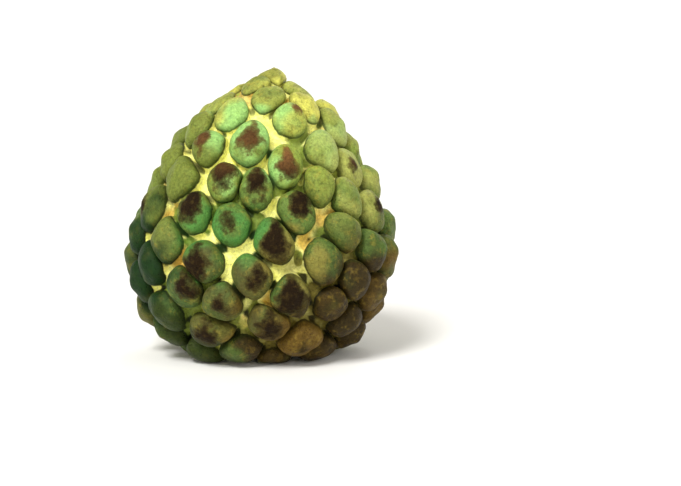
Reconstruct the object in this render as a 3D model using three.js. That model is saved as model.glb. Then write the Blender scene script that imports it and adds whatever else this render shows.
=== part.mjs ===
// A whole cherimoya as picked: a rounded, cone-shaped fruit that stands on its broad stalk end, tip up.
// Its skin is covered by fleshy knobs, one for each carpel, which wind round the fruit from stalk to tip as
// the scales of a pine cone do, with furrows between them. A short stub of the woody stalk is left in the
// hollow underneath. Millimetres, +Z up, with the origin on the surface below the middle of the fruit.
import * as THREE from "three";
import { ConvexHull } from "three/addons/math/ConvexHull.js";
import { mergeVertices } from "three/addons/utils/BufferGeometryUtils.js";

// Body: [radius, height] round the fruit at the bottom of its furrows, from the stalk hollow to the tip
const FURROW_OUTLINE = [
  [0, 11],
  [6, 10.4],
  [12, 7],
  [19, 4.4],
  [26.5, 5.2],
  [33.5, 11.5],
  [40.2, 21],
  [44.8, 34],
  [43.4, 48],
  [38.4, 62],
  [31.6, 75],
  [25, 87],
  [16.8, 96.2],
  [7.6, 102.6],
  [0, 105.2],
];
const OUTLINE_STEPS = 600;
const TIP_LEAN = 3.6; // how far the tip stands to +X of the middle of the base
const LEAN_FROM = 30; // height where the lean begins
// How far the cross-section departs from a circle, as shares of its radius
const OVAL = { share: 0.014, angle: 0.6 };
const LOBES = { share: 0.012, angle: 1.9 };

// Knobs
const KNOB_COUNT = 121;
const GOLDEN_ANGLE = -Math.PI * (3 - Math.sqrt(5)); // from one knob to the next
const FIRST_ANGLE = 0.48;
const FIRST_SHARE = 0.03; // share of the skin that lies inside the first knob's ring
const CROWDING = 0.1; // how much less skin a knob has at the stalk and the tip
const STRAY = 0.17; // how far a knob strays from its place, as a share of the spacing
const STRAY_SEED = 196;
const KNOB_HEIGHT = 6.6;
const HEIGHT_VARIES = 0.16; // up or down, as a share of KNOB_HEIGHT
const HEIGHT_SEED = 4;
const LOW_AT_STALK = 0.45; // height beside the stalk, as a share of KNOB_HEIGHT
const LOW_AT_TIP = 0.5;
const PEAK_SHIFT = 0.2; // how far a peak leans to the tip of the fruit, as a share of the knob's radius
const POINTED = 0.12; // how far a knob is drawn out towards the tip of the fruit, likewise
// Rings from the furrow to the peak: reach as a share of the knob's radius, lift as a share of its height,
// and how far the outline has gone from the polygon that the furrows make to a round one
const KNOB_RINGS = [
  { reach: 1, lift: 0, round: 0 },
  { reach: 0.9, lift: 0.08, round: 0.65 },
  { reach: 0.86, lift: 0.5, round: 0.75 },
  { reach: 0.69, lift: 0.88, round: 0.82 },
  { reach: 0.36, lift: 1.03, round: 0.95 },
];
const KEPT_OFF = 0.5; // least distance of a ring from the furrow, as a share of what its reach leaves free
const PEAK_LIFT = 1.05;

// Stalk
const STALK_RADIUS = 3.6;
const STALK_FLARE = 1.18; // radius where it joins the fruit, as a share of STALK_RADIUS
const STALK_SIDES = 14;
const STALK_GAP = 0.55; // all round the stub, between it and the corners of its socket
const SOCKET_DEPTH = 1.8;
const STALK_CLEARANCE = 2.4; // from the cut end to the surface that the fruit stands on
const STALK_WAIST = { share: 0.94, depth: 3 }; // where it is thinnest: radius, and distance below the hollow
const CUT_EDGE = { share: 0.9, height: 0.5 }; // the worn edge of the cut end: radius, and height above it
const COLLAR = { foot: 6.6, crest: 5.6, height: 1.1 }; // the ring of skin round the stalk: radii and height

const SKIN_COLOUR = 0x6c8a36;
const BARK_COLOUR = 0x6a5236;

const SAME_POINT = 1e-4; // corners of the mesh that are nearer than this are one

// A number from 0 to 1 that looks random, and is the same each time for the same two numbers.
function draw(index, series) {
  const wave = Math.sin(index * 12.9898 + series * 78.233) * 43758.5453;
  return wave - Math.floor(wave);
}

// Points along the outline, each with the area of skin between it and the stalk. The curve runs on past the
// axis at either end, as its own mirror image, so that it meets the axis squarely.
function sampleOutline() {
  const mirrored = ([radius, height]) => [-radius, height];
  const knots = [mirrored(FURROW_OUTLINE[1]), ...FURROW_OUTLINE, mirrored(FURROW_OUTLINE.at(-2))];
  const curve = new THREE.SplineCurve(knots.map(([radius, height]) => new THREE.Vector2(radius, height)));
  const spans = knots.length - 1;
  const samples = [];
  for (let i = 0; i <= OUTLINE_STEPS; i++) {
    const p = curve.getPoint((1 + ((spans - 2) * i) / OUTLINE_STEPS) / spans);
    samples.push({ radius: Math.max(p.x, 0), height: p.y, area: 0 });
  }
  for (let i = 1; i < samples.length; i++) {
    const [before, here] = [samples[i - 1], samples[i]];
    const slant = Math.hypot(here.radius - before.radius, here.height - before.height);
    here.area = before.area + Math.PI * (here.radius + before.radius) * slant;
  }
  return samples;
}

const outline = sampleOutline();
const skinArea = outline.at(-1).area;
const ballRadius = Math.sqrt(skinArea / (4 * Math.PI)); // of a ball with as much skin

// The skin is laid out on a unit ball: each belt of the ball holds the same share of its area as that belt of
// the fruit does. This gives the fruit's point for a direction on the ball, raised from the furrows by lift.
function onFruit(direction, lift) {
  const area = ((direction.z + 1) / 2) * skinArea;
  let [low, high] = [0, outline.length - 1];
  while (high - low > 1) {
    const middle = (low + high) >> 1;
    if (outline[middle].area > area) high = middle;
    else low = middle;
  }
  const [a, b] = [outline[low], outline[high]];
  const along = THREE.MathUtils.clamp((area - a.area) / (b.area - a.area), 0, 1);
  const slant = Math.hypot(b.radius - a.radius, b.height - a.height);
  const outwards = (b.height - a.height) / slant;
  const upwards = -(b.radius - a.radius) / slant;
  const radius = THREE.MathUtils.lerp(a.radius, b.radius, along) + outwards * lift;
  const height = THREE.MathUtils.lerp(a.height, b.height, along) + upwards * lift;
  return settled(radius, height, Math.atan2(direction.y, direction.x));
}

// The fruit's own slight irregularity, and the flat spots where its lowest knobs carry it.
function settled(radius, height, angle) {
  const girth =
    1 + OVAL.share * Math.cos(2 * (angle - OVAL.angle)) + LOBES.share * Math.cos(3 * (angle - LOBES.angle));
  const risen = Math.max(height - LEAN_FROM, 0) / (outline.at(-1).height - LEAN_FROM);
  return new THREE.Vector3(
    radius * girth * Math.cos(angle) + TIP_LEAN * risen ** 3,
    radius * girth * Math.sin(angle),
    Math.max(height, 0),
  );
}

// Directions of the knobs on the ball, along one spiral; the first is the stalk's place.
function knobPlaces() {
  const places = [new THREE.Vector3(0, 0, -1)];
  const spacing = Math.sqrt((4 * Math.PI) / KNOB_COUNT);
  for (let i = 0; i < KNOB_COUNT; i++) {
    const even = (i + 1) / KNOB_COUNT;
    const crowded = even - (CROWDING / (2 * Math.PI)) * Math.sin(2 * Math.PI * even);
    const share = FIRST_SHARE + (1 - FIRST_SHARE) * crowded;
    const up = 2 * share - 1;
    const angle = FIRST_ANGLE + i * GOLDEN_ANGLE;
    const ring = Math.sqrt(Math.max(1 - up * up, 0));
    const place = new THREE.Vector3(ring * Math.cos(angle), ring * Math.sin(angle), up);
    const stray = new THREE.Vector3(...[0.1, 0.2, 0.3].map((axis) => draw(i, STRAY_SEED + axis) - 0.5));
    places.push(place.addScaledVector(stray, 2 * STRAY * spacing).normalize());
  }
  return places;
}

// For each place, the corners of its cell in order round it, as seen from outside. Three cells meet at each.
function cellsRound(places) {
  const corners = new Map(places.map((place) => [place, []]));
  for (const face of new ConvexHull().setFromPoints(places).faces) {
    const corner = face.normal.clone().normalize();
    let edge = face.edge;
    do {
      corners.get(edge.head().point).push(corner);
      edge = edge.next;
    } while (edge !== face.edge);
  }
  return places.map((place) => {
    const { across, tipwards } = axesAt(place);
    const angleOf = (p) => Math.atan2(p.dot(tipwards), p.dot(across));
    return corners.get(place).sort((p, q) => angleOf(p) - angleOf(q));
  });
}

// Unit directions along the ball at a place: round it, and towards the tip.
function axesAt(place) {
  const tipwards = new THREE.Vector3(0, 0, 1).addScaledVector(place, -place.z);
  if (tipwards.lengthSq() < SAME_POINT ** 2) tipwards.set(1, 0, 0);
  tipwards.normalize();
  return { across: new THREE.Vector3().crossVectors(tipwards, place), tipwards };
}

// The cell's corners with the middle of each side between them.
function furrowRound(corners) {
  return corners.flatMap((corner, k) => {
    const next = corners[(k + 1) % corners.length];
    return [corner, corner.clone().add(next).normalize()];
  });
}

// A ring of points round a place: reach, lift and roundness as in KNOB_RINGS, with the ring's middle moved
// towards where the peak is. The ring stays off the furrow on every side.
function ringRound(place, furrow, { reach, lift, round }, height) {
  const { tipwards } = axesAt(place);
  const spokes = furrow.map((p) => p.clone().sub(place));
  const radius = spokes.reduce((sum, spoke) => sum + spoke.length(), 0) / spokes.length;
  const shift = tipwards.clone().multiplyScalar(PEAK_SHIFT * radius * (1 - reach));
  return spokes.map((spoke) => {
    const toFurrow = spoke.length();
    const outwards = spoke.clone().normalize();
    const length = THREE.MathUtils.lerp(toFurrow, radius, round);
    const drawnOut = 1 + POINTED * round * Math.max(outwards.dot(tipwards), 0) ** 2;
    const offset = shift.clone().addScaledVector(outwards, length * drawnOut * reach);
    const overrun = offset.dot(outwards) - toFurrow * (1 - KEPT_OFF * (1 - reach));
    offset.addScaledVector(outwards, -Math.max(overrun, 0));
    return onFruit(place.clone().add(offset).normalize(), lift * height);
  });
}

// How high a knob stands: lower beside the stalk and at the tip, and a little different from its neighbours.
function knobHeight(place, index) {
  const share = (place.z + 1) / 2;
  const fromStalk = THREE.MathUtils.smoothstep(share, FIRST_SHARE, 3 * FIRST_SHARE);
  const fromTip = THREE.MathUtils.smoothstep(1 - share, 0, 5 * FIRST_SHARE);
  const lowByStalk = THREE.MathUtils.lerp(LOW_AT_STALK, 1, fromStalk);
  const lowByTip = THREE.MathUtils.lerp(LOW_AT_TIP, 1, fromTip);
  const varied = 1 + HEIGHT_VARIES * (2 * draw(index, HEIGHT_SEED) - 1);
  return KNOB_HEIGHT * lowByStalk * lowByTip * varied;
}

function knob(place, corners, index) {
  const furrow = furrowRound(corners);
  const height = knobHeight(place, index);
  const rings = KNOB_RINGS.map((ring) => ringRound(place, furrow, ring, height));
  rings.push(rings.pop().filter((_, k) => k % 2 === 0)); // the smallest ring has half as many points
  const { tipwards } = axesAt(place);
  const radius = furrow.reduce((sum, p) => sum + p.distanceTo(place), 0) / furrow.length;
  const peakPlace = place.clone().addScaledVector(tipwards, PEAK_SHIFT * radius).normalize();
  return capped(rings, onFruit(peakPlace, PEAK_LIFT * height));
}

// The skin in the stalk's place: a low collar, with the socket that the stalk stands in.
function stalkPlace(place, corners) {
  const furrow = furrowRound(corners);
  const socket = STALK_RADIUS * STALK_FLARE + STALK_GAP;
  const first = Math.atan2(furrow[0].y, furrow[0].x);
  const circle = (radius, lift) =>
    furrow.map((_, k) => {
      const angle = first - (2 * Math.PI * k) / furrow.length;
      const out = new THREE.Vector3(Math.cos(angle), Math.sin(angle), 0).multiplyScalar(radius / ballRadius);
      return onFruit(place.clone().add(out).normalize(), lift);
    });
  const rings = [
    furrow.map((p) => onFruit(p, 0)),
    circle(COLLAR.foot, 0),
    circle(COLLAR.crest, COLLAR.height),
    circle(socket, COLLAR.height),
    circle(socket, -SOCKET_DEPTH),
  ];
  return capped(rings, onFruit(place, -SOCKET_DEPTH));
}

// Triangles between rings and over the last one. Each ring lies inside the one before, with as many points or
// half as many.
function capped(rings, peak) {
  const triangles = [];
  for (let r = 1; r < rings.length; r++) {
    const [outer, inner] = [rings[r - 1], rings[r]];
    const step = outer.length / inner.length;
    inner.forEach((near, k) => {
      const next = inner[(k + 1) % inner.length];
      for (let j = 0; j < step; j++) {
        const [from, to] = [outer[step * k + j], outer[(step * k + j + 1) % outer.length]];
        triangles.push(from, to, j === 0 ? near : next);
      }
      triangles.push(near, outer[(step * k + 1) % outer.length], next);
    });
  }
  rings.at(-1).forEach((p, k, last) => triangles.push(p, last[(k + 1) % last.length], peak));
  return triangles;
}

function fruit() {
  const places = knobPlaces();
  const cells = cellsRound(places);
  const triangles = places.flatMap((place, i) => (i === 0 ? stalkPlace : knob)(place, cells[i], i));
  const geometry = mergeVertices(new THREE.BufferGeometry().setFromPoints(triangles), SAME_POINT);
  geometry.computeVertexNormals();
  const skin = new THREE.MeshStandardMaterial({ color: SKIN_COLOUR, roughness: 0.55, metalness: 0 });
  const mesh = new THREE.Mesh(geometry, skin);
  mesh.name = "fruit";
  return mesh;
}

// The stub of the stalk, turned about +Z: flared where it joins the fruit, and cut off square below.
function stalkStub() {
  const hollow = onFruit(new THREE.Vector3(0, 0, -1), 0).z;
  const root = hollow + SOCKET_DEPTH - STALK_GAP;
  const profile = [
    [0, STALK_CLEARANCE],
    [CUT_EDGE.share, STALK_CLEARANCE],
    [1, STALK_CLEARANCE + CUT_EDGE.height],
    [STALK_WAIST.share, hollow - STALK_WAIST.depth],
    [STALK_FLARE, hollow - COLLAR.height],
    [STALK_FLARE, root],
    [0, root],
  ];
  const points = profile.map(([share, height]) => new THREE.Vector2(STALK_RADIUS * share, height));
  const bark = new THREE.MeshStandardMaterial({ color: BARK_COLOUR, roughness: 0.9, metalness: 0 });
  const mesh = new THREE.Mesh(new THREE.LatheGeometry(points, STALK_SIDES).rotateX(Math.PI / 2), bark);
  mesh.name = "stalk_stub";
  return mesh;
}

const cherimoya = new THREE.Group();
cherimoya.name = "cherimoya";
cherimoya.add(fruit(), stalkStub());
const middle = new THREE.Box3().setFromObject(cherimoya, true).getCenter(new THREE.Vector3());
cherimoya.children.forEach((mesh) => mesh.position.set(-middle.x, -middle.y, 0));

export default cherimoya;
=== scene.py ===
"""A whole cherimoya on a pale floor: knobbly skin and stalk stub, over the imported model, with light and camera."""
import math
from functools import partial

import bpy
import numpy as np
from bpy.props import FloatProperty, FloatVectorProperty, IntProperty, PointerProperty
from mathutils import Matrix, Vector


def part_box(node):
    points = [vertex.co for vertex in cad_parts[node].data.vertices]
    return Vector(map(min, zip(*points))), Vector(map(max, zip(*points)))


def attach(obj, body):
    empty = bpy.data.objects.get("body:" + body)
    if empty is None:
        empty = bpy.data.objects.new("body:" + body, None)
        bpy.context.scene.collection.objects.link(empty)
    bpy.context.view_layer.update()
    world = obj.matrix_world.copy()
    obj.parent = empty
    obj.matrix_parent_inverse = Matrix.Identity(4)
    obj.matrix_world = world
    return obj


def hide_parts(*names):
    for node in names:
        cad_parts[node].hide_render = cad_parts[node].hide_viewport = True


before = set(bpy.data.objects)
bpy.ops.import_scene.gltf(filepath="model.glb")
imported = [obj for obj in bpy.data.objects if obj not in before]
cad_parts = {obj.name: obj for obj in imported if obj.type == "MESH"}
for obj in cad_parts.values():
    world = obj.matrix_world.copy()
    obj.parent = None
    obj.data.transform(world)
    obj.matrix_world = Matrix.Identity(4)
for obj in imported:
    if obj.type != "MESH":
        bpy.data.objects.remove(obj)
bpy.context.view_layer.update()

bl_info = {
    "name": "Cherimoya",
    "version": (1, 0, 0),
    "blender": (4, 5, 0),
    "location": "View3D > Sidebar > Cherimoya",
    "description": "Finishes a whole cherimoya: knobbly skin, stalk stub and stage",
    "category": "Object",
}

MM = 0.001  # metres in a millimetre


def linear(colour):
    """The linear RGBA of an sRGB hex colour such as "#7a8c3a"."""
    shares = [int(colour[i : i + 2], 16) / 255 for i in (1, 3, 5)]
    return tuple(s / 12.92 if s <= 0.04045 else ((s + 0.055) / 1.055) ** 2.4 for s in shares) + (1.0,)


def add_node(tree, kind, inputs=None, output=0, **settings):
    """A new shader node, with its settings, and its inputs set to values or linked. Returns the output asked for,
    or None where the node has none."""
    node = tree.nodes.new("ShaderNode" + kind)
    for name, value in settings.items():
        setattr(node, name, value)
    for name, value in (inputs or {}).items():
        if isinstance(value, bpy.types.NodeSocket):
            tree.links.new(value, node.inputs[name])
        else:
            node.inputs[name].default_value = value
    return node.outputs[output] if node.outputs else None


# The colour mix node's sockets, which share their names with others of its own, and its settings
MIX_A, MIX_B, MIX_RESULT = 6, 7, 2
COLOURS = {"output": MIX_RESULT, "data_type": "RGBA"}
EASED = {"interpolation_type": "SMOOTHSTEP"}


# ---------------------------------------------------------------- how the knobs lie on the skin

# The same rule as the solid model's, in millimetres. Outline: [radius, height] at the bottom of the furrows,
# from the stalk hollow to the tip.
FURROW_OUTLINE = [
    (0, 11), (6, 10.4), (12, 7), (19, 4.4), (26.5, 5.2), (33.5, 11.5), (40.2, 21), (44.8, 34), (43.4, 48),
    (38.4, 62), (31.6, 75), (25, 87), (16.8, 96.2), (7.6, 102.6), (0, 105.2),
]
OUTLINE_STEPS = 600
BATCHES = 40  # the skin's points are laid out in so many batches, which saves memory
TIP_LEAN = 3.6  # how far the tip leans along x
LEAN_FROM = 30  # the height where the lean starts
# Unevenness of the girth, twice and three times round: share of the radius, and its direction in radians
OVAL = {"share": 0.014, "angle": 0.6}
LOBES = {"share": 0.012, "angle": 1.9}
KNOB_COUNT = 121
GOLDEN_ANGLE = -math.pi * (3 - math.sqrt(5))
FIRST_ANGLE = 0.48
FIRST_SHARE = 0.03  # share of the skin, round the stalk, that has no knobs
CROWDING = 0.1  # how much closer than even the knobs lie at the stalk and at the tip
STRAY = 0.17  # how far a knob strays from the spiral, as a share of the knobs' spacing
STRAY_SEED = 196
KNOB_HEIGHT = 6.6
HEIGHT_VARIES = 0.16
HEIGHT_SEED = 4
# Shares of that height at the stalk and at the tip, and shares of the skin within which knobs are lower there
LOW_AT_STALK, LOW_NEAR_STALK = 0.45, 3 * FIRST_SHARE
LOW_AT_TIP, LOW_NEAR_TIP = 0.5, 5 * FIRST_SHARE
PEAK_SHIFT = 0.2  # how far a peak leans to the tip of the fruit, as a share of the knob's radius
KNOB_RADIUS = 2 / math.sqrt(KNOB_COUNT)  # on the ball, on average
# How much further off the third nearest knob is than the second, midway along a furrow, in knob radii
JUNCTION_SPAN = 0.7

# Dried patches: a knob has a large one where it faces the worn side of the fruit, below its crown
WORN_SIDE = Vector((-0.1, -1.0, 0.0))
WORN_FROM, WORN_FULL = 0.74, 0.88  # how squarely a knob faces that side
CROWN_FROM, CROWN_FULL = 0.8, 0.9  # heights on the ball
HEM_FROM, HEM_FULL = -0.62, -0.78
PATCH_SIZE, PATCH_VARIES = 0.5, 0.34  # radius as a share of the knob's
PATCH_STRAY = 0.36  # how far its middle strays from the peak, side to side
STRAY_PATCHES = 0.2  # share of the other knobs that have one, smaller
SMALLER = 0.6
# A patch is a drop that points to the tip of the fruit: its slimness, and how much slimmer it gets over so many
# knob radii
DROP_LENGTH, DROP_SLIMS, DROP_POINT = 0.8, 1.2, 0.6
PATCH_PRESENT = (0.05, 0.2)  # radii between which a patch comes to show
PATCH_EDGE = (-0.05, 0.25)  # how far inside its edge it is fully dried
TONE_SEED, PATCH_SEED = 11, 23

# Where the skin swells
KNOB_PROPER = (0.2, 0.9)  # shares of a knob's height between which the swelling grows to its full strength
WEIGHT_LEAST = 0.001  # points that would swell less than this are left out
FEET = (0.3, 8)  # heights, in millimetres, between which the skin starts to swell
NUBS_FADE = (104, 92)  # and those between which the nubs grow, from the tip down


def draw(index, series):
    """A number from 0 to 1 that looks random, and is the same each time for the same two numbers."""
    wave = math.sin(index * 12.9898 + series * 78.233) * 43758.5453
    return wave - math.floor(wave)


def ramp(value, start, end):
    """How far value has gone from start to end, from 0 to 1, easing in and out."""
    share = np.clip((value - start) / (end - start), 0, 1)
    return share * share * (3 - 2 * share)


def outline_samples():
    """Radius, height and the area of skin nearer the stalk, at even steps along the outline."""
    ahead, behind = FURROW_OUTLINE[1], FURROW_OUTLINE[-2]
    knots = np.array([(-ahead[0], ahead[1]), *FURROW_OUTLINE, (-behind[0], behind[1])], float)
    along = np.linspace(0, len(FURROW_OUTLINE) - 1, OUTLINE_STEPS + 1)
    span = np.minimum(along.astype(int), len(FURROW_OUTLINE) - 2)
    t = (along - span)[:, None]
    before, start, end, after = (knots[span + k] for k in range(4))
    leaving, arriving = (end - before) / 2, (after - start) / 2
    cubed = 2 * start - 2 * end + leaving + arriving
    squared = 3 * end - 3 * start - 2 * leaving - arriving
    points = ((cubed * t + squared) * t + leaving) * t + start
    radius, height = np.maximum(points[:, 0], 0), points[:, 1]
    slant = np.hypot(np.diff(radius), np.diff(height))
    area = np.concatenate([[0], np.cumsum(math.pi * (radius[1:] + radius[:-1]) * slant)])
    return radius, height, area


def knob_places():
    """Unit directions of the knobs on the ball that the skin is laid out on; the first is the stalk's place."""
    places = [Vector((0, 0, -1))]
    spacing = math.sqrt(4 * math.pi / KNOB_COUNT)
    for i in range(KNOB_COUNT):
        even = (i + 1) / KNOB_COUNT
        crowded = even - CROWDING / (2 * math.pi) * math.sin(2 * math.pi * even)
        up = 2 * (FIRST_SHARE + (1 - FIRST_SHARE) * crowded) - 1
        angle = FIRST_ANGLE + i * GOLDEN_ANGLE
        ring = math.sqrt(max(1 - up * up, 0))
        place = Vector((ring * math.cos(angle), ring * math.sin(angle), up))
        stray = Vector([draw(i, STRAY_SEED + axis) - 0.5 for axis in (0.1, 0.2, 0.3)])
        places.append((place + stray * 2 * STRAY * spacing).normalized())
    return places


def on_ball(points):
    """For points of the skin, in metres: their directions on the ball, and how far they stand over the furrows."""
    low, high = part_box("stalk_stub")
    stalk = (Vector(low) + Vector(high)) / 2
    radius, height, area = outline_samples()
    x, y, z = (points - np.array([stalk.x, stalk.y, 0])).T / MM
    risen = np.clip(z - LEAN_FROM, 0, None) / (height[-1] - LEAN_FROM)
    x = x - TIP_LEAN * risen**3
    angle = np.arctan2(y, x)
    girth = 1 + OVAL["share"] * np.cos(2 * (angle - OVAL["angle"]))
    girth += LOBES["share"] * np.cos(3 * (angle - LOBES["angle"]))
    out = np.hypot(x, y) / girth
    nearest = np.concatenate([
        np.argmin((o[:, None] - radius) ** 2 + (h[:, None] - height) ** 2, axis=1)
        for o, h in zip(np.array_split(out, BATCHES), np.array_split(z, BATCHES))
    ])
    run, climb = np.gradient(radius), np.gradient(height)
    slant = np.hypot(run, climb)
    lift = ((out - radius[nearest]) * climb[nearest] - (z - height[nearest]) * run[nearest]) / slant[nearest]
    up = 2 * area[nearest] / area[-1] - 1
    ring = np.sqrt(np.clip(1 - up**2, 0, None))
    return np.stack([ring * np.cos(angle), ring * np.sin(angle), up], axis=1), lift


def knob_height(place, index):
    """How high a knob stands: lower beside the stalk and at the tip, and a little different from its neighbours."""
    share = (place.z + 1) / 2
    low_by_stalk = LOW_AT_STALK + (1 - LOW_AT_STALK) * ramp(share, FIRST_SHARE, LOW_NEAR_STALK)
    low_by_tip = LOW_AT_TIP + (1 - LOW_AT_TIP) * ramp(1 - share, 0, LOW_NEAR_TIP)
    return KNOB_HEIGHT * low_by_stalk * low_by_tip * (1 + HEIGHT_VARIES * (2 * draw(index, HEIGHT_SEED) - 1))


def patch_size(place, index):
    """Radius of the dried patch on a knob, as a share of the knob's."""
    chance = draw(index, PATCH_SEED)
    level = Vector((place.x, place.y, 0))
    facing = level.normalized().dot(WORN_SIDE.normalized())
    worn = ramp(facing, WORN_FROM, WORN_FULL) * (1 - ramp(place.z, CROWN_FROM, CROWN_FULL))
    worn *= 1 - ramp(place.z, HEM_FROM, HEM_FULL)
    if worn > 0:
        return worn * (PATCH_SIZE + PATCH_VARIES * (chance - 0.5))
    return PATCH_SIZE * SMALLER * ramp(chance, 1 - STRAY_PATCHES, 1)


def knob_facts(points):
    """How each point lies on its knob, by name: rise goes from 0 at the bottom of the furrow to 1 on top of the knob,
    junction is 1 where three knobs meet, from_peak is in knob radii, knob_tone holds three draws, patch is the
    radius of the knob's dried patch, in knob radii, and in_patch how far inside its edge the point is."""
    directions, lift = on_ball(points)
    knobs = knob_places()
    places = np.array(knobs)
    likeness = directions @ places.T
    order = np.argsort(-likeness, axis=1)[:, :3]
    nearest = order[:, 0]
    away = np.arccos(np.clip(np.take_along_axis(likeness, order, axis=1), -1, 1))
    place = places[nearest]
    tipwards = np.array([0, 0, 1]) - place * place[:, 2:]
    tipwards /= np.maximum(np.linalg.norm(tipwards, axis=1), 1e-6)[:, None]
    across = np.cross(tipwards, place)
    offset = (directions - place) / KNOB_RADIUS - tipwards * PEAK_SHIFT
    strays = np.array([[draw(i, STRAY_SEED + k) - 0.5 for k in (1, 2)] for i in range(KNOB_COUNT + 1)])
    x, y = np.array([(offset * across).sum(1), (offset * tipwards).sum(1)]) + strays[nearest].T * PATCH_STRAY
    drop = np.hypot(x * (1 + DROP_SLIMS * np.clip(y / DROP_POINT, 0, 1)), y * DROP_LENGTH)
    tones = np.array([[draw(i, TONE_SEED + k) for k in range(3)] for i in range(KNOB_COUNT + 1)])
    patches = np.array([patch_size(place, i) if i else 0 for i, place in enumerate(knobs)])
    heights = np.array([knob_height(place, i) for i, place in enumerate(knobs)])
    return {
        "rise": lift / heights[nearest],
        "junction": 1 - np.clip((away[:, 2] - away[:, 1]) / (JUNCTION_SPAN * KNOB_RADIUS), 0, 1),
        "from_peak": np.hypot(x, y),
        "knob_tone": tones[nearest],
        "patch": patches[nearest],
        "in_patch": patches[nearest] - drop,
    }


# ---------------------------------------------------------------- settings


class CherimoyaSkinSettings(bpy.types.PropertyGroup):
    rounding: IntProperty(name="Rounding", description="Subdivision levels of the skin", default=2, min=0, max=2)
    swell: FloatProperty(
        name="Swell", description="How far the smoothed skin is let out again",
        default=0.6 * MM, unit="LENGTH", precision=5,
    )
    tip_rise: FloatProperty(
        name="Tip rise", description="How far the tip is drawn out", default=2.3 * MM, unit="LENGTH", precision=5
    )
    tip_width: FloatProperty(
        name="Tip width", description="How much of the tip is drawn out", default=11 * MM, unit="LENGTH", precision=5
    )
    lump_height: FloatProperty(
        name="Lump height", description="Unevenness of the knobs", default=1.0 * MM, unit="LENGTH", precision=5
    )
    lump_size: FloatProperty(
        name="Lump size", description="Width of a lump", default=7 * MM, unit="LENGTH", precision=5
    )
    dimple_height: FloatProperty(
        name="Dimple height", description="Depth of the dimples", default=0.35 * MM, unit="LENGTH", precision=5
    )
    dimple_size: FloatProperty(
        name="Dimple size", description="Width of a dimple", default=2.2 * MM, unit="LENGTH", precision=5
    )
    nub_height: FloatProperty(
        name="Nub height", description="How far the peak of a knob stands up", default=1.2 * MM, unit="LENGTH",
        precision=5,
    )
    nub_width: FloatProperty(
        name="Nub width", description="As a share of the knob's", default=0.3, subtype="FACTOR", min=0, max=1
    )
    patch_depth: FloatProperty(
        name="Patch depth", description="How far a dried patch has sunk", default=0.45 * MM, unit="LENGTH",
        precision=5,
    )
    furrow_colour: FloatVectorProperty(
        name="Furrow colour", description="New skin, where the furrows widen", subtype="COLOR", size=4,
        default=linear("#e6e452"),
    )
    # Brown of the ripe side, partly ripening and partly painted shade low on the right and at the bottom
    ripe_and_shade_colour: FloatVectorProperty(
        name="Ripe colour", description="Knobs that have browned", subtype="COLOR", size=4,
        default=linear("#6c521c"),
    )
    patch_colour: FloatVectorProperty(
        name="Patch colour", description="Dried patches on the peaks", subtype="COLOR", size=4,
        default=linear("#1f1405"),
    )
    rust_colour: FloatVectorProperty(
        name="Rust colour", description="Dried patches near the tip", subtype="COLOR", size=4,
        default=linear("#8f6438"),
    )


class CherimoyaStalkSettings(bpy.types.PropertyGroup):
    sides: IntProperty(name="Sides", description="Points round the stub", default=36, min=12)
    bark_height: FloatProperty(
        name="Bark height", description="How far the bark stands up", default=0.3 * MM, unit="LENGTH", precision=5
    )
    bark_size: FloatProperty(
        name="Bark size", description="Width of a bark scale", default=1.1 * MM, unit="LENGTH", precision=5
    )
    bark_colour: FloatVectorProperty(
        name="Bark colour", description="Dry bark between its cracks", subtype="COLOR", size=4,
        default=linear("#8f7a5c"),
    )
    wood_colour: FloatVectorProperty(
        name="Wood colour", description="Cut end of the stalk", subtype="COLOR", size=4, default=linear("#c9ad7c")
    )


class CherimoyaStageSettings(bpy.types.PropertyGroup):
    floor_radius: FloatProperty(
        name="Floor radius", description="Out to where the floor curves up", default=1.5, unit="LENGTH"
    )
    rim_height: FloatProperty(name="Rim height", description="Height of the curved rim", default=0.8, unit="LENGTH")
    floor_colour: FloatVectorProperty(
        name="Floor colour", description="Paint of the floor", subtype="COLOR", size=4, default=linear("#f4f3ef")
    )
    elevation: FloatProperty(
        name="Camera elevation", description="Above level", default=math.radians(8), subtype="ANGLE"
    )
    distance: FloatProperty(
        name="Camera distance", description="From the middle of the fruit", default=0.739, unit="LENGTH"
    )


# ---------------------------------------------------------------- materials

# The skin's green from the stalk end up, darker low down and lighter near the top, partly its own green and partly
# painted shade and painted light: heights in millimetres between which each colour takes over
GREENS_AND_SHADING = [
    (0, 0, "#5b5a26"), (14, 38, "#50562a"), (38, 62, "#6c7834"), (62, 82, "#98a846"), (82, 95, "#c6c45a"),
    (105, 110, "#8e9040"),
]
# Blushes of the skin, partly its own colours and partly painted light and shade, mostly lighter high on the fruit and
# darker low down: centre and radius in millimetres, colour, strength
BLUSHES_AND_SHADING = {
    "olive shoulder": ((-34, -20, 78), 31, "#656f2d", 0.8),
    "mint crown": ((-2, -30, 88), 21, "#90c06c", 0.85),
    "mint side": ((31, -18, 84), 15, "#9ab96a", 0.75),
    "green belly": ((-12, -43, 52), 22, "#437f38", 0.75),
    "deep flank": ((-44, -22, 37), 31, "#0a2a0a", 0.95),
    "dark hem": ((-26, -28, 8), 24, "#26320c", 0.85),
    "olive side": ((40, -18, 74), 26, "#aaaa58", 0.65),
    "ochre belly": ((15, -45, 44), 16, "#857a38", 0.7),
    "umber belly": ((-9, -46, 31), 16, "#4c4222", 0.65),
}
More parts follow.
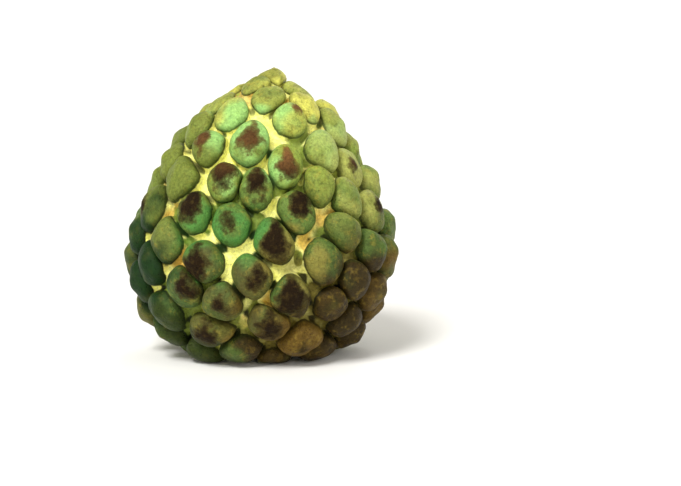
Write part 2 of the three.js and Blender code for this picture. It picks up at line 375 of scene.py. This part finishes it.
# Where the skin is brown, partly ripening and partly painted shade low on the right and at the bottom, and where the
# furrows are brightest: centre and radius in millimetres
BROWN_AND_SHADE_PLACES = [((34, -30, 14), 42), ((9, -40, 7), 28)]
YOUNG = [
    ((-34, -24, 74), 42), ((4, -20, 106), 34), ((-36, -34, 50), 22), ((28, -22, 86), 26), ((11, -46, 35), 13),
    ((12, -45, 64), 12), ((-4, -46, 62), 11), ((30, 30, 60), 40),
]
# The inner part of each that has its full strength, as a share of the radius
BLUSH_CORE, PLACE_CORE = 0.45, 0.5

LEAF_GREEN = "#44682f"  # the greener knobs
OCHRE_FLECKS, DARK_FLECKS = "#a08c35", "#2f3a16"
DEEP_BROWN, BROWN_FLECKS = "#2f1b08", "#86702a"
# Furrows: palest, golden, dull where they don't widen, on the ripe side, partly painted shade there, and the line
# where two knobs meet, which is painted shade
PALE_FURROW, GOLDEN_FURROW, DULL_FURROW, RIPE_SHADED_FURROW, FURROW_SHADE_LINE = (
    "#fbfab4", "#c39a3c", "#8a9a3c", "#5f5220", "#141b0a"
)
# Dried patches: the stain round them, the same near the tip, and the flecks in them
STAIN, RUSTY_STAIN, PATCH_FLECKS = "#3c3210", "#7c5824", "#4e3f1a"

# Sizes of the skin's mottling. Grains and pores are finer on the fruit: here they are as coarse as they need
# to be to show.
WASH, BLOTCH, FLECK, GRAIN, PORE = 16 * MM, 5 * MM, 2.6 * MM, 1.1 * MM, 1.3 * MM
SKIN_RELIEF = 0.35 * MM
# How far the edges of the blushes, and the heights where the greens change, wander
EDGES_WANDER, HEIGHTS_WANDER = 0.06, 0.03
YOUNG_FOOT = 0.16  # how much of a knob's height turns to furrow where the skin is young
RUST_HEIGHTS = (70, 86)  # in millimetres: the patches turn rusty between them


def skin_material(settings):
    """Waxy cherimoya skin: each knob its own green with a dark rim, partly painted shade in the fold at its foot,
    yellow new skin where the furrows widen and painted shade where two knobs meet, brown on the ripe side, partly
    painted shade, greens lighter high up and darker low down, partly painted light and shade, and frayed dark
    patches where the peaks have dried. The thin wax gives little shine."""
    material = bpy.data.materials.new("cherimoya skin")
    material.use_nodes = True
    material.node_tree.nodes.clear()
    add = partial(add_node, material.node_tree)
    place = add("TexCoord", output="Object")
    rise = add("Attribute", attribute_name="rise", output="Fac")
    junction = add("Attribute", attribute_name="junction", output="Fac")
    tones = add("Attribute", attribute_name="knob_tone", output="Vector")
    patch = add("Attribute", attribute_name="patch", output="Fac")
    in_patch = add("Attribute", attribute_name="in_patch", output="Fac")
    tone = add("SeparateXYZ", {0: tones}, "X")
    patch_tone = add("SeparateXYZ", {0: tones}, "Y")
    height = add("SeparateXYZ", {0: place}, "Z")

    # Mottling
    wash = add("TexNoise", {"Vector": place, "Scale": 1 / WASH, "Detail": 2.0}, "Color")
    blotch = add("TexNoise", {"Vector": place, "Scale": 1 / BLOTCH, "Detail": 4.0, "Roughness": 0.6}, "Fac")
    fleck = add("TexNoise", {"Vector": place, "Scale": 1 / FLECK, "Detail": 3.0, "Roughness": 0.65}, "Color")
    grain = add("TexNoise", {"Vector": place, "Scale": 1 / GRAIN, "Detail": 4.0, "Roughness": 0.75}, "Fac")
    pores = add("TexVoronoi", {"Vector": place, "Scale": 1 / PORE}, "Distance")
    warp = add("VectorMath", {0: wash, 1: (0.5, 0.5, 0.5)}, operation="SUBTRACT")
    reach = (EDGES_WANDER,) * 3
    warped = add("VectorMath", {0: warp, 1: reach, 2: place}, operation="MULTIPLY_ADD")

    def near(centre, radius, core, strength):
        """Strength within core, a share of the radius, of a place on the fruit, down to 0 outside the radius."""
        away = add("VectorMath", {0: warped, 1: Vector(centre) * MM}, "Value", operation="DISTANCE")
        ends = {"From Min": radius * MM, "From Max": core * radius * MM, "To Max": strength}
        return add("MapRange", {"Value": away, **ends}, **EASED)

    def near_any(places):
        """The same for the nearest of several places."""
        nearest = 0.0
        for centre, radius in places:
            nearest = add("Math", {0: near(centre, radius, PLACE_CORE, 1.0), 1: nearest}, operation="MAXIMUM")
        return nearest

    # Knobs: from olive to green, knob by knob and within each
    leaning = add("Math", {0: tone, 1: blotch}, operation="ADD")
    reach = (HEIGHTS_WANDER,) * 3
    strayed = add("VectorMath", {0: warp, 1: reach, 2: place}, operation="MULTIPLY_ADD")
    strayed = add("SeparateXYZ", {0: strayed}, "Z")
    # Darker near the stalk, lighter near the top: partly the skin's own greens, partly painted shade and painted
    # light
    green = linear(GREENS_AND_SHADING[0][2])
    for low, high, colour in GREENS_AND_SHADING[1:]:
        share = add("MapRange", {"Value": strayed, "From Min": low * MM, "From Max": high * MM})
        green = add("Mix", {0: share, MIX_A: green, MIX_B: linear(colour)}, **COLOURS)
    share = add("MapRange", {"Value": leaning, "From Min": 0.6, "From Max": 1.4, "To Max": 0.55}, **EASED)
    green = add("Mix", {0: share, MIX_A: green, MIX_B: linear(LEAF_GREEN)}, **COLOURS)

    # Ochre and dark flecks
    share = add("SeparateXYZ", {0: fleck}, "X")
    ochre = add("MapRange", {"Value": share, "From Min": 0.52, "From Max": 0.72, "To Max": 0.5})
    green = add("Mix", {0: ochre, MIX_A: green, MIX_B: linear(OCHRE_FLECKS)}, **COLOURS)
    share = add("SeparateXYZ", {0: fleck}, "Y")
    dark = add("MapRange", {"Value": share, "From Min": 0.52, "From Max": 0.74, "To Max": 0.7})
    green = add("Mix", {0: dark, MIX_A: green, MIX_B: linear(DARK_FLECKS)}, **COLOURS)

    # Blushes, partly painted light and shade, and the brown of the ripe side, partly painted shade
    for centre, radius, colour, strength in BLUSHES_AND_SHADING.values():
        share = near(centre, radius, BLUSH_CORE, strength)
        green = add("Mix", {0: share, MIX_A: green, MIX_B: linear(colour)}, **COLOURS)
    # Brown low on the right and at the bottom, partly ripening and partly painted shade
    browned_and_shaded = near_any(BROWN_AND_SHADE_PLACES)
    share = add("MapRange", {"Value": leaning, "From Min": 0.5, "From Max": 1.3})
    brown = add("Mix", {0: share, MIX_A: settings.ripe_and_shade_colour, MIX_B: linear(DEEP_BROWN)}, **COLOURS)
    brown = add("Mix", {0: ochre, MIX_A: brown, MIX_B: linear(BROWN_FLECKS)}, **COLOURS)
    share = add("Math", {0: browned_and_shaded, 1: 0.9}, operation="MULTIPLY")
    knob = add("Mix", {0: share, MIX_A: green, MIX_B: brown}, **COLOURS)

    # Furrows: yellow in places where they widen, and painted shade, a dark line, where two knobs meet. Each knob's
    # foot has a dark rim, partly an outline the skin has and partly painted shade in the fold. Where the skin is
    # young, more of the foot of each knob is furrow, and more of the furrow is yellow.
    young = near_any(YOUNG)
    ragged = add("MapRange", {"Value": blotch, "From Min": 0.3, "From Max": 0.7, "To Min": -0.08, "To Max": 0.08})
    rise_here = add("Math", {0: rise, 1: ragged}, operation="ADD")
    rise_here = add("Math", {0: young, 1: -YOUNG_FOOT, 2: rise_here}, operation="MULTIPLY_ADD")
    foot = add("MapRange", {"Value": rise_here, "From Min": 0.26, "From Max": 0.2}, **EASED)
    # The dark rim at each knob's foot: partly an outline the skin has, partly painted shade in the fold
    rim = add("MapRange", {"Value": rise_here, "From Min": 0.6, "From Max": 0.3, "To Max": 0.6})
    edge = add("MapRange", {"Value": rise_here, "From Min": 0.46, "From Max": 0.34}, **EASED)
    rim = add("Math", {0: rim, 1: edge}, operation="MAXIMUM")
    wash_here = add("SeparateXYZ", {0: wash}, "X")
    youth = add("Math", {0: young, 1: -YOUNG_FOOT, 2: wash_here}, operation="MULTIPLY_ADD")
    bright = add("MapRange", {"Value": youth, "From Min": 0.5, "From Max": 0.44}, **EASED)
    opened = add("Math", {0: young, 1: 0.3, 2: junction}, operation="MULTIPLY_ADD")
    opened = add("MapRange", {"Value": opened, "From Min": 0.2, "From Max": 0.5}, **EASED)
    yellow = add("Mix", {0: blotch, MIX_A: settings.furrow_colour, MIX_B: linear(PALE_FURROW)}, **COLOURS)
    share = add("SeparateXYZ", {0: wash}, "Z")
    golden = add("MapRange", {"Value": share, "From Min": 0.54, "From Max": 0.66, "To Max": 0.8})
    yellow = add("Mix", {0: golden, MIX_A: yellow, MIX_B: linear(GOLDEN_FURROW)}, **COLOURS)
    dull = add("Mix", {0: 0.5, MIX_A: knob, MIX_B: linear(DULL_FURROW)}, **COLOURS)
    open_furrow = add("Mix", {0: bright, MIX_A: dull, MIX_B: yellow}, **COLOURS)
    # The furrows there turn brown too, partly painted shade
    share = add("Math", {0: browned_and_shaded, 1: 0.85}, operation="MULTIPLY")
    open_furrow = add("Mix", {0: share, MIX_A: open_furrow, MIX_B: linear(RIPE_SHADED_FURROW)}, **COLOURS)
    # Painted shade: the dark of the furrows where two knobs meet, used also for the knob rims
    shade_line = add("Mix", {0: 0.75, MIX_A: knob, MIX_B: linear(FURROW_SHADE_LINE)}, **COLOURS)
    furrow = add("Mix", {0: opened, MIX_A: shade_line, MIX_B: open_furrow}, **COLOURS)
    share = add("Math", {0: rim, 1: 0.9}, operation="MULTIPLY")
    shade_rimmed = add("Mix", {0: share, MIX_A: knob, MIX_B: shade_line}, **COLOURS)
    skin = add("Mix", {0: foot, MIX_A: shade_rimmed, MIX_B: furrow}, **COLOURS)

    # Dried patches with frayed edges, in a wider stain
    frayed = add("MapRange", {"Value": blotch, "From Min": 0.25, "From Max": 0.75, "To Min": -0.28, "To Max": 0.28})
    depth = add("Math", {0: in_patch, 1: frayed}, operation="SUBTRACT")
    present = add("MapRange", {"Value": patch, "From Min": PATCH_PRESENT[0], "From Max": PATCH_PRESENT[1]})
    on_top = add("MapRange", {"Value": rise, "From Min": 0.4, "From Max": 0.7})
    shown = add("Math", {0: present, 1: on_top}, operation="MULTIPLY")
    stained = add("MapRange", {"Value": depth, "From Min": -0.14, "From Max": 0.04, "To Max": 0.75}, **EASED)
    stained = add("Math", {0: stained, 1: shown}, operation="MULTIPLY")
    dried = add("MapRange", {"Value": depth, "From Min": PATCH_EDGE[0], "From Max": PATCH_EDGE[1]}, **EASED)
    dried = add("Math", {0: dried, 1: shown}, operation="MULTIPLY")
    low, high = (height * MM for height in RUST_HEIGHTS)
    rusty = add("MapRange", {"Value": height, "From Min": low, "From Max": high}, **EASED)
    rusty = add("Math", {0: rusty, 1: patch_tone}, operation="MULTIPLY")
    stain = add("Mix", {0: rusty, MIX_A: linear(STAIN), MIX_B: linear(RUSTY_STAIN)}, **COLOURS)
    scab = add("Mix", {0: rusty, MIX_A: settings.patch_colour, MIX_B: settings.rust_colour}, **COLOURS)
    scab = add("Mix", {0: ochre, MIX_A: scab, MIX_B: linear(PATCH_FLECKS)}, **COLOURS)
    skin = add("Mix", {0: stained, MIX_A: skin, MIX_B: stain}, **COLOURS)
    skin = add("Mix", {0: dried, MIX_A: skin, MIX_B: scab}, **COLOURS)

    # Grain, in the colour and in the surface, and a crust on the patches
    shade = add("MapRange", {"Value": grain, "From Min": 0.3, "From Max": 0.7, "To Min": 0.62, "To Max": 1.28})
    skin = add("Mix", {0: 1.0, MIX_A: skin, MIX_B: shade}, blend_type="MULTIPLY", **COLOURS)
    pitted = add("MapRange", {"Value": pores, "From Min": 0.05, "From Max": 0.3})
    fine = add("Math", {0: grain, 1: pitted}, operation="ADD")
    crust = add("SeparateXYZ", {0: fleck}, "Z")
    crust = add("Math", {0: crust, 1: dried}, operation="MULTIPLY")
    fine = add("Math", {0: crust, 1: 3.0, 2: fine}, operation="MULTIPLY_ADD")
    bump = add("Bump", {"Height": fine, "Distance": SKIN_RELIEF, "Strength": 0.9})
    roughness = add("MapRange", {"Value": dried, "To Min": 0.5, "To Max": 0.85})
    surface = add(
        "BsdfPrincipled",
        {
            "Base Color": skin, "Roughness": roughness, "Normal": bump, "Specular IOR Level": 0.1,
            "Subsurface Weight": 0.1, "Subsurface Radius": (1.0, 0.9, 0.3), "Subsurface Scale": 1.5 * MM,
        },
    )
    add("OutputMaterial", {"Surface": surface})
    return material


# Width of the cracks in the bark, how deep they are, and how much longer than wide
CRACK, CRACK_DEPTH, CRACK_LENGTH = 0.8 * MM, 0.4 * MM, 4
# Height over the cut end up to which its wood shows, and where bark has taken over; radii where the pith ends
CUT_SHOWS, BARK_FROM = 0.2 * MM, 0.5 * MM
PITH_ENDS = (0.8 * MM, 1.1 * MM)
CRACK_COLOUR, PITH_COLOUR = "#4a3826", "#7d5f3c"


def bark_material(settings):
    """Dry stalk: grey-brown bark with lengthwise cracks, and pale wood with a darker pith on the cut end."""
    material = bpy.data.materials.new("stalk bark")
    material.use_nodes = True
    material.node_tree.nodes.clear()
    add = partial(add_node, material.node_tree)
    place = add("TexCoord", output="Object")
    stretched = add("VectorMath", {0: place, 1: (1.0, 1.0, 1 / CRACK_LENGTH)}, operation="MULTIPLY")
    cracks = add("TexNoise", {"Vector": stretched, "Scale": 1 / CRACK, "Detail": 4.0}, "Fac")
    bark = add("Mix", {0: cracks, MIX_A: linear(CRACK_COLOUR), MIX_B: settings.bark_colour}, **COLOURS)
    low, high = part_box("stalk_stub")
    height = add("SeparateXYZ", {0: place}, "Z")
    on_cut = add("MapRange", {"Value": height, "From Min": low[2] + BARK_FROM, "From Max": low[2] + CUT_SHOWS})
    axis = ((low[0] + high[0]) / 2, (low[1] + high[1]) / 2, low[2])
    out = add("VectorMath", {0: place, 1: axis}, "Value", operation="DISTANCE")
    woody = add("MapRange", {"Value": out, "From Min": PITH_ENDS[0], "From Max": PITH_ENDS[1]})
    cut = add("Mix", {0: woody, MIX_A: linear(PITH_COLOUR), MIX_B: settings.wood_colour}, **COLOURS)
    colour = add("Mix", {0: on_cut, MIX_A: bark, MIX_B: cut}, **COLOURS)
    roughness = add("MapRange", {"Value": cracks, "To Min": 0.95, "To Max": 0.75})
    bump = add("Bump", {"Height": cracks, "Distance": CRACK_DEPTH, "Strength": 0.8})
    surface = add("BsdfPrincipled", {"Base Color": colour, "Roughness": roughness, "Normal": bump})
    add("OutputMaterial", {"Surface": surface})
    return material


def paint_material(colour):
    """Matt paint, for the floor."""
    material = bpy.data.materials.new("floor paint")
    material.use_nodes = True
    material.node_tree.nodes.clear()
    add = partial(add_node, material.node_tree)
    surface = add("BsdfPrincipled", {"Base Color": colour, "Roughness": 0.9})
    add("OutputMaterial", {"Surface": surface})
    return material


# ---------------------------------------------------------------- pieces


def only(piece):
    """Makes piece the one selected and active object, in object mode."""
    if bpy.context.mode != "OBJECT":
        bpy.ops.object.mode_set(mode="OBJECT")
    bpy.ops.object.select_all(action="DESELECT")
    piece.select_set(True)
    bpy.context.view_layer.objects.active = piece


def modify(piece, kind, **settings):
    """Adds a modifier with these settings to piece, and applies it."""
    only(piece)
    modifier = piece.modifiers.new(kind.title(), kind)
    for name, value in settings.items():
        setattr(modifier, name, value)
    bpy.ops.object.modifier_apply(modifier=modifier.name)


def clouds(name, size, depth):
    """A cloudy texture for a Displace modifier, with features of this size."""
    texture = bpy.data.textures.new(name, "CLOUDS")
    texture.noise_scale = size
    texture.noise_depth = depth
    return texture


class CHERIMOYA_OT_skin(bpy.types.Operator):
    """Smooths a copy of the solid fruit into a fleshy, uneven skin, and colours it"""

    bl_idname = "cherimoya.skin"
    bl_label = "Skin"

    def execute(self, context):
        settings = context.scene.cherimoya_skin
        skin = bpy.data.objects.new("fruit_skin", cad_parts["fruit"].data.copy())
        skin.data.name = skin.name
        context.collection.objects.link(skin)
        only(skin)
        bpy.ops.object.mode_set(mode="EDIT")
        bpy.ops.mesh.select_mode(type="VERT")
        bpy.ops.mesh.select_all(action="SELECT")
        bpy.ops.mesh.remove_doubles(threshold=0.01 * MM)
        bpy.ops.mesh.tris_convert_to_quads(face_threshold=math.radians(60), shape_threshold=math.radians(60))
        bpy.ops.mesh.normals_make_consistent(inside=False)
        bpy.ops.object.mode_set(mode="OBJECT")
        modify(skin, "SUBSURF", levels=settings.rounding, render_levels=settings.rounding)
        self.point_tip(skin, settings)

        mesh = skin.data
        points = np.empty(len(mesh.vertices) * 3)
        mesh.vertices.foreach_get("co", points)
        points = points.reshape(-1, 3)
        facts = knob_facts(points)
        from_peak = facts.pop("from_peak")
        for name, values in facts.items():
            kind, field = ("FLOAT_VECTOR", "vector") if values.ndim == 2 else ("FLOAT", "value")
            mesh.attributes.new(name, kind, "POINT").data.foreach_set(field, values.ravel())
        # The furrows stay as they are, so that knobs don't grow into each other, and so do the feet
        height = points[:, 2] / MM
        knobs = ramp(facts["rise"], *KNOB_PROPER) * ramp(height, *FEET)
        peaks = np.exp(-((from_peak / settings.nub_width) ** 2)) * knobs * ramp(height, *NUBS_FADE)
        dried = knobs * ramp(facts["patch"], *PATCH_PRESENT) * ramp(facts["in_patch"], *PATCH_EDGE)
        for name, weights in (("knobs", knobs), ("peaks", peaks), ("dried", dried)):
            group = skin.vertex_groups.new(name=name)
            for i in np.flatnonzero(weights > WEIGHT_LEAST):
                group.add([int(i)], float(weights[i]), "REPLACE")
        swell = partial(modify, skin, "DISPLACE", vertex_group="knobs")
        swell(strength=settings.swell, mid_level=0.0)
        swell(strength=settings.lump_height, texture=clouds("lumps", settings.lump_size, 1))
        swell(strength=settings.dimple_height, texture=clouds("dimples", settings.dimple_size, 1))
        modify(skin, "DISPLACE", vertex_group="peaks", strength=settings.nub_height, mid_level=0.0)
        modify(skin, "DISPLACE", vertex_group="dried", strength=-settings.patch_depth, mid_level=0.0)
        skin.vertex_groups.clear()
        for vertex in mesh.vertices:
            vertex.co.z = max(vertex.co.z, 0)
        mesh.materials.clear()
        mesh.materials.append(skin_material(settings))
        only(skin)
        bpy.ops.object.shade_smooth()
        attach(skin, "root")
        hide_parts("fruit")
        return {"FINISHED"}

    def point_tip(self, skin, settings):
        """Draws the tip of the fruit out into a blunt point."""
        only(skin)
        bpy.ops.object.mode_set(mode="EDIT")
        bpy.ops.mesh.select_all(action="DESELECT")
        bpy.ops.object.mode_set(mode="OBJECT")
        max(skin.data.vertices, key=lambda v: v.co.z).select = True
        bpy.ops.object.mode_set(mode="EDIT")
        bpy.ops.transform.translate(
            value=(0, 0, settings.tip_rise), use_proportional_edit=True, proportional_size=settings.tip_width,
            proportional_edit_falloff="SHARP",
        )
        bpy.ops.object.mode_set(mode="OBJECT")


class CHERIMOYA_OT_stalk(bpy.types.Operator):
    """Draws out the stub of stalk in the hollow under the fruit, with rough bark and a sawn end"""

    bl_idname = "cherimoya.stalk"
    bl_label = "Stalk stub"

    # Widths as shares of the solid's, at shares of its height from the cut end
    PROFILE = [
        (0.78, 0.0), (0.8, 0.06), (0.79, 0.25), (0.78, 0.45), (0.82, 0.62), (0.92, 0.75), (0.98, 0.9), (0.96, 1)
    ]
    WORN_EDGE = 0.9  # the cut's own width, as a share of the first, where its edge has worn
    SORTED_FROM = Vector((31, 17, -53)) * MM

    def execute(self, context):
        settings = context.scene.cherimoya_stalk
        low, high = (Vector(corner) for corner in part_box("stalk_stub"))
        middle, size = (low + high) / 2, high - low
        bpy.ops.object.select_all(action="DESELECT")
        width, at = self.PROFILE[0]
        bpy.ops.mesh.primitive_circle_add(
            vertices=settings.sides, radius=size.x / 2 * width * self.WORN_EDGE, fill_type="NGON",
            location=(middle.x, middle.y, low.z),
        )
        stub = context.object
        stub.name = stub.data.name = "stalk_stub_bark"
        bpy.ops.object.mode_set(mode="EDIT")
        before = width * self.WORN_EDGE
        for width, share in self.PROFILE[1:]:
            bpy.ops.mesh.extrude_region_move(TRANSFORM_OT_translate={"value": (0, 0, (share - at) * size.z)})
            growth = width / before
            bpy.ops.transform.resize(
                value=(growth, growth, 1), center_override=(middle.x, middle.y, low.z + share * size.z)
            )
            before, at = width, share
        bpy.ops.mesh.select_all(action="SELECT")
        bpy.ops.mesh.normals_make_consistent(inside=False)
        # Extruding leaves the points in an order that changes from run to run. They are sorted by how far they
        # are from a place that is at a different distance from each of them.
        context.scene.cursor.location = self.SORTED_FROM
        bpy.ops.mesh.sort_elements(type="CURSOR_DISTANCE", elements={"VERT", "EDGE", "FACE"})
        bpy.ops.object.mode_set(mode="OBJECT")
        bpy.ops.object.transform_apply(location=True, rotation=True, scale=True)
        modify(stub, "SUBSURF", subdivision_type="SIMPLE", levels=2, render_levels=2)
        modify(
            stub, "DISPLACE", texture=clouds("bark", settings.bark_size, 2), strength=settings.bark_height,
            mid_level=0.5,
        )
        stub.data.materials.append(bark_material(settings))
        only(stub)
        bpy.ops.object.shade_smooth_by_angle(angle=math.radians(40))
        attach(stub, "root")
        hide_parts("stalk_stub")
        return {"FINISHED"}


class CHERIMOYA_OT_stage(bpy.types.Operator):
    """Lays a pale floor with a rim that curves up, and sets soft light and the camera"""

    bl_idname = "cherimoya.stage"
    bl_label = "Stage"

    RIM_STEPS = 12
    # Name, place, width and power of each soft light; all face the fruit
    LIGHTS = [
        ("key", (-0.9, -1.85, 2.3), 1.2, 98),
        ("fill", (1.9, -1.6, 1.2), 1.6, 15),
        ("back", (0.6, 2.0, 1.8), 1.4, 20),
    ]
    FRUIT_MIDDLE = Vector((0, 0, 54.5)) * MM
    ASIDE, BELOW = 30.8 * MM, 11.6 * MM  # where the camera aims, from the middle of the fruit
    AIR_COLOUR, AIR_STRENGTH = "#fffaf2", 0.4

    def execute(self, context):
        settings = context.scene.cherimoya_stage
        bpy.ops.object.select_all(action="DESELECT")
        radius, rim = settings.floor_radius, settings.rim_height
        bpy.ops.mesh.primitive_circle_add(vertices=96, radius=radius, fill_type="NGON", location=(0, 0, 0))
        floor = context.object
        floor.name = "floor"
        bpy.ops.object.mode_set(mode="EDIT")
        bpy.ops.mesh.select_all(action="SELECT")
        bpy.ops.mesh.select_mode(type="EDGE")
        bpy.ops.mesh.region_to_loop()
        before, at = radius, 0.0
        for step in range(1, self.RIM_STEPS + 1):
            turn = math.pi / 2 * step / self.RIM_STEPS
            wide, high = radius + rim * math.sin(turn), rim * (1 - math.cos(turn))
            bpy.ops.mesh.extrude_edges_move(TRANSFORM_OT_translate={"value": (0, 0, high - at)})
            bpy.ops.transform.resize(value=(wide / before, wide / before, 1), center_override=(0, 0, high))
            before, at = wide, high
        bpy.ops.object.mode_set(mode="OBJECT")
        bpy.ops.object.shade_smooth_by_angle(angle=math.radians(40))
        floor.data.materials.append(paint_material(settings.floor_colour))

        for name, place, width, power in self.LIGHTS:
            facing = (self.FRUIT_MIDDLE - Vector(place)).to_track_quat("-Z", "Y").to_euler()
            bpy.ops.object.light_add(type="AREA", location=place, rotation=facing)
            light = context.object
            light.name = name
            light.data.shape = "DISK"
            light.data.size = width
            light.data.energy = power

        world = bpy.data.worlds.new("studio")
        world.use_nodes = True
        world.node_tree.nodes.clear()
        add = partial(add_node, world.node_tree)
        air = add("Background", {"Color": linear(self.AIR_COLOUR), "Strength": self.AIR_STRENGTH})
        add("OutputWorld", {"Surface": air})
        context.scene.world = world
        context.scene.view_settings.view_transform = "Standard"

        elevation = settings.elevation
        forward = Vector((0, math.cos(elevation), -math.sin(elevation)))
        up = Vector((0, math.sin(elevation), math.cos(elevation)))
        aim = self.FRUIT_MIDDLE + Vector((self.ASIDE, 0, 0)) - up * self.BELOW
        bpy.ops.object.camera_add(
            location=aim - forward * settings.distance, rotation=(math.pi / 2 - elevation, 0, 0)
        )
        camera = context.object
        camera.name = "camera"
        camera.data.lens = 100
        camera.data.sensor_width = 36
        camera.data.clip_start = 0.01
        camera.data.clip_end = 20
        context.scene.camera = camera
        return {"FINISHED"}


class CHERIMOYA_PT_panel(bpy.types.Panel):
    """The fruit's pieces and stage, with their settings"""

    bl_label = "Cherimoya"
    bl_idname = "CHERIMOYA_PT_panel"
    bl_space_type = "VIEW_3D"
    bl_region_type = "UI"
    bl_category = "Cherimoya"

    def draw(self, context):
        for operator, settings in (
            (CHERIMOYA_OT_skin, context.scene.cherimoya_skin),
            (CHERIMOYA_OT_stalk, context.scene.cherimoya_stalk),
            (CHERIMOYA_OT_stage, context.scene.cherimoya_stage),
        ):
            self.layout.operator(operator.bl_idname)
            for name in settings.__annotations__:
                self.layout.prop(settings, name)


CLASSES = (
    CherimoyaSkinSettings,
    CherimoyaStalkSettings,
    CherimoyaStageSettings,
    CHERIMOYA_OT_skin,
    CHERIMOYA_OT_stalk,
    CHERIMOYA_OT_stage,
    CHERIMOYA_PT_panel,
)


def register():
    for cls in CLASSES:
        bpy.utils.register_class(cls)
    bpy.types.Scene.cherimoya_skin = PointerProperty(type=CherimoyaSkinSettings)
    bpy.types.Scene.cherimoya_stalk = PointerProperty(type=CherimoyaStalkSettings)
    bpy.types.Scene.cherimoya_stage = PointerProperty(type=CherimoyaStageSettings)


def unregister():
    del bpy.types.Scene.cherimoya_stage
    del bpy.types.Scene.cherimoya_stalk
    del bpy.types.Scene.cherimoya_skin
    for cls in reversed(CLASSES):
        bpy.utils.unregister_class(cls)


def main():
    register()
    bpy.ops.cherimoya.skin()
    bpy.ops.cherimoya.stalk()
    bpy.ops.cherimoya.stage()


if __name__ == "__main__":
    main()
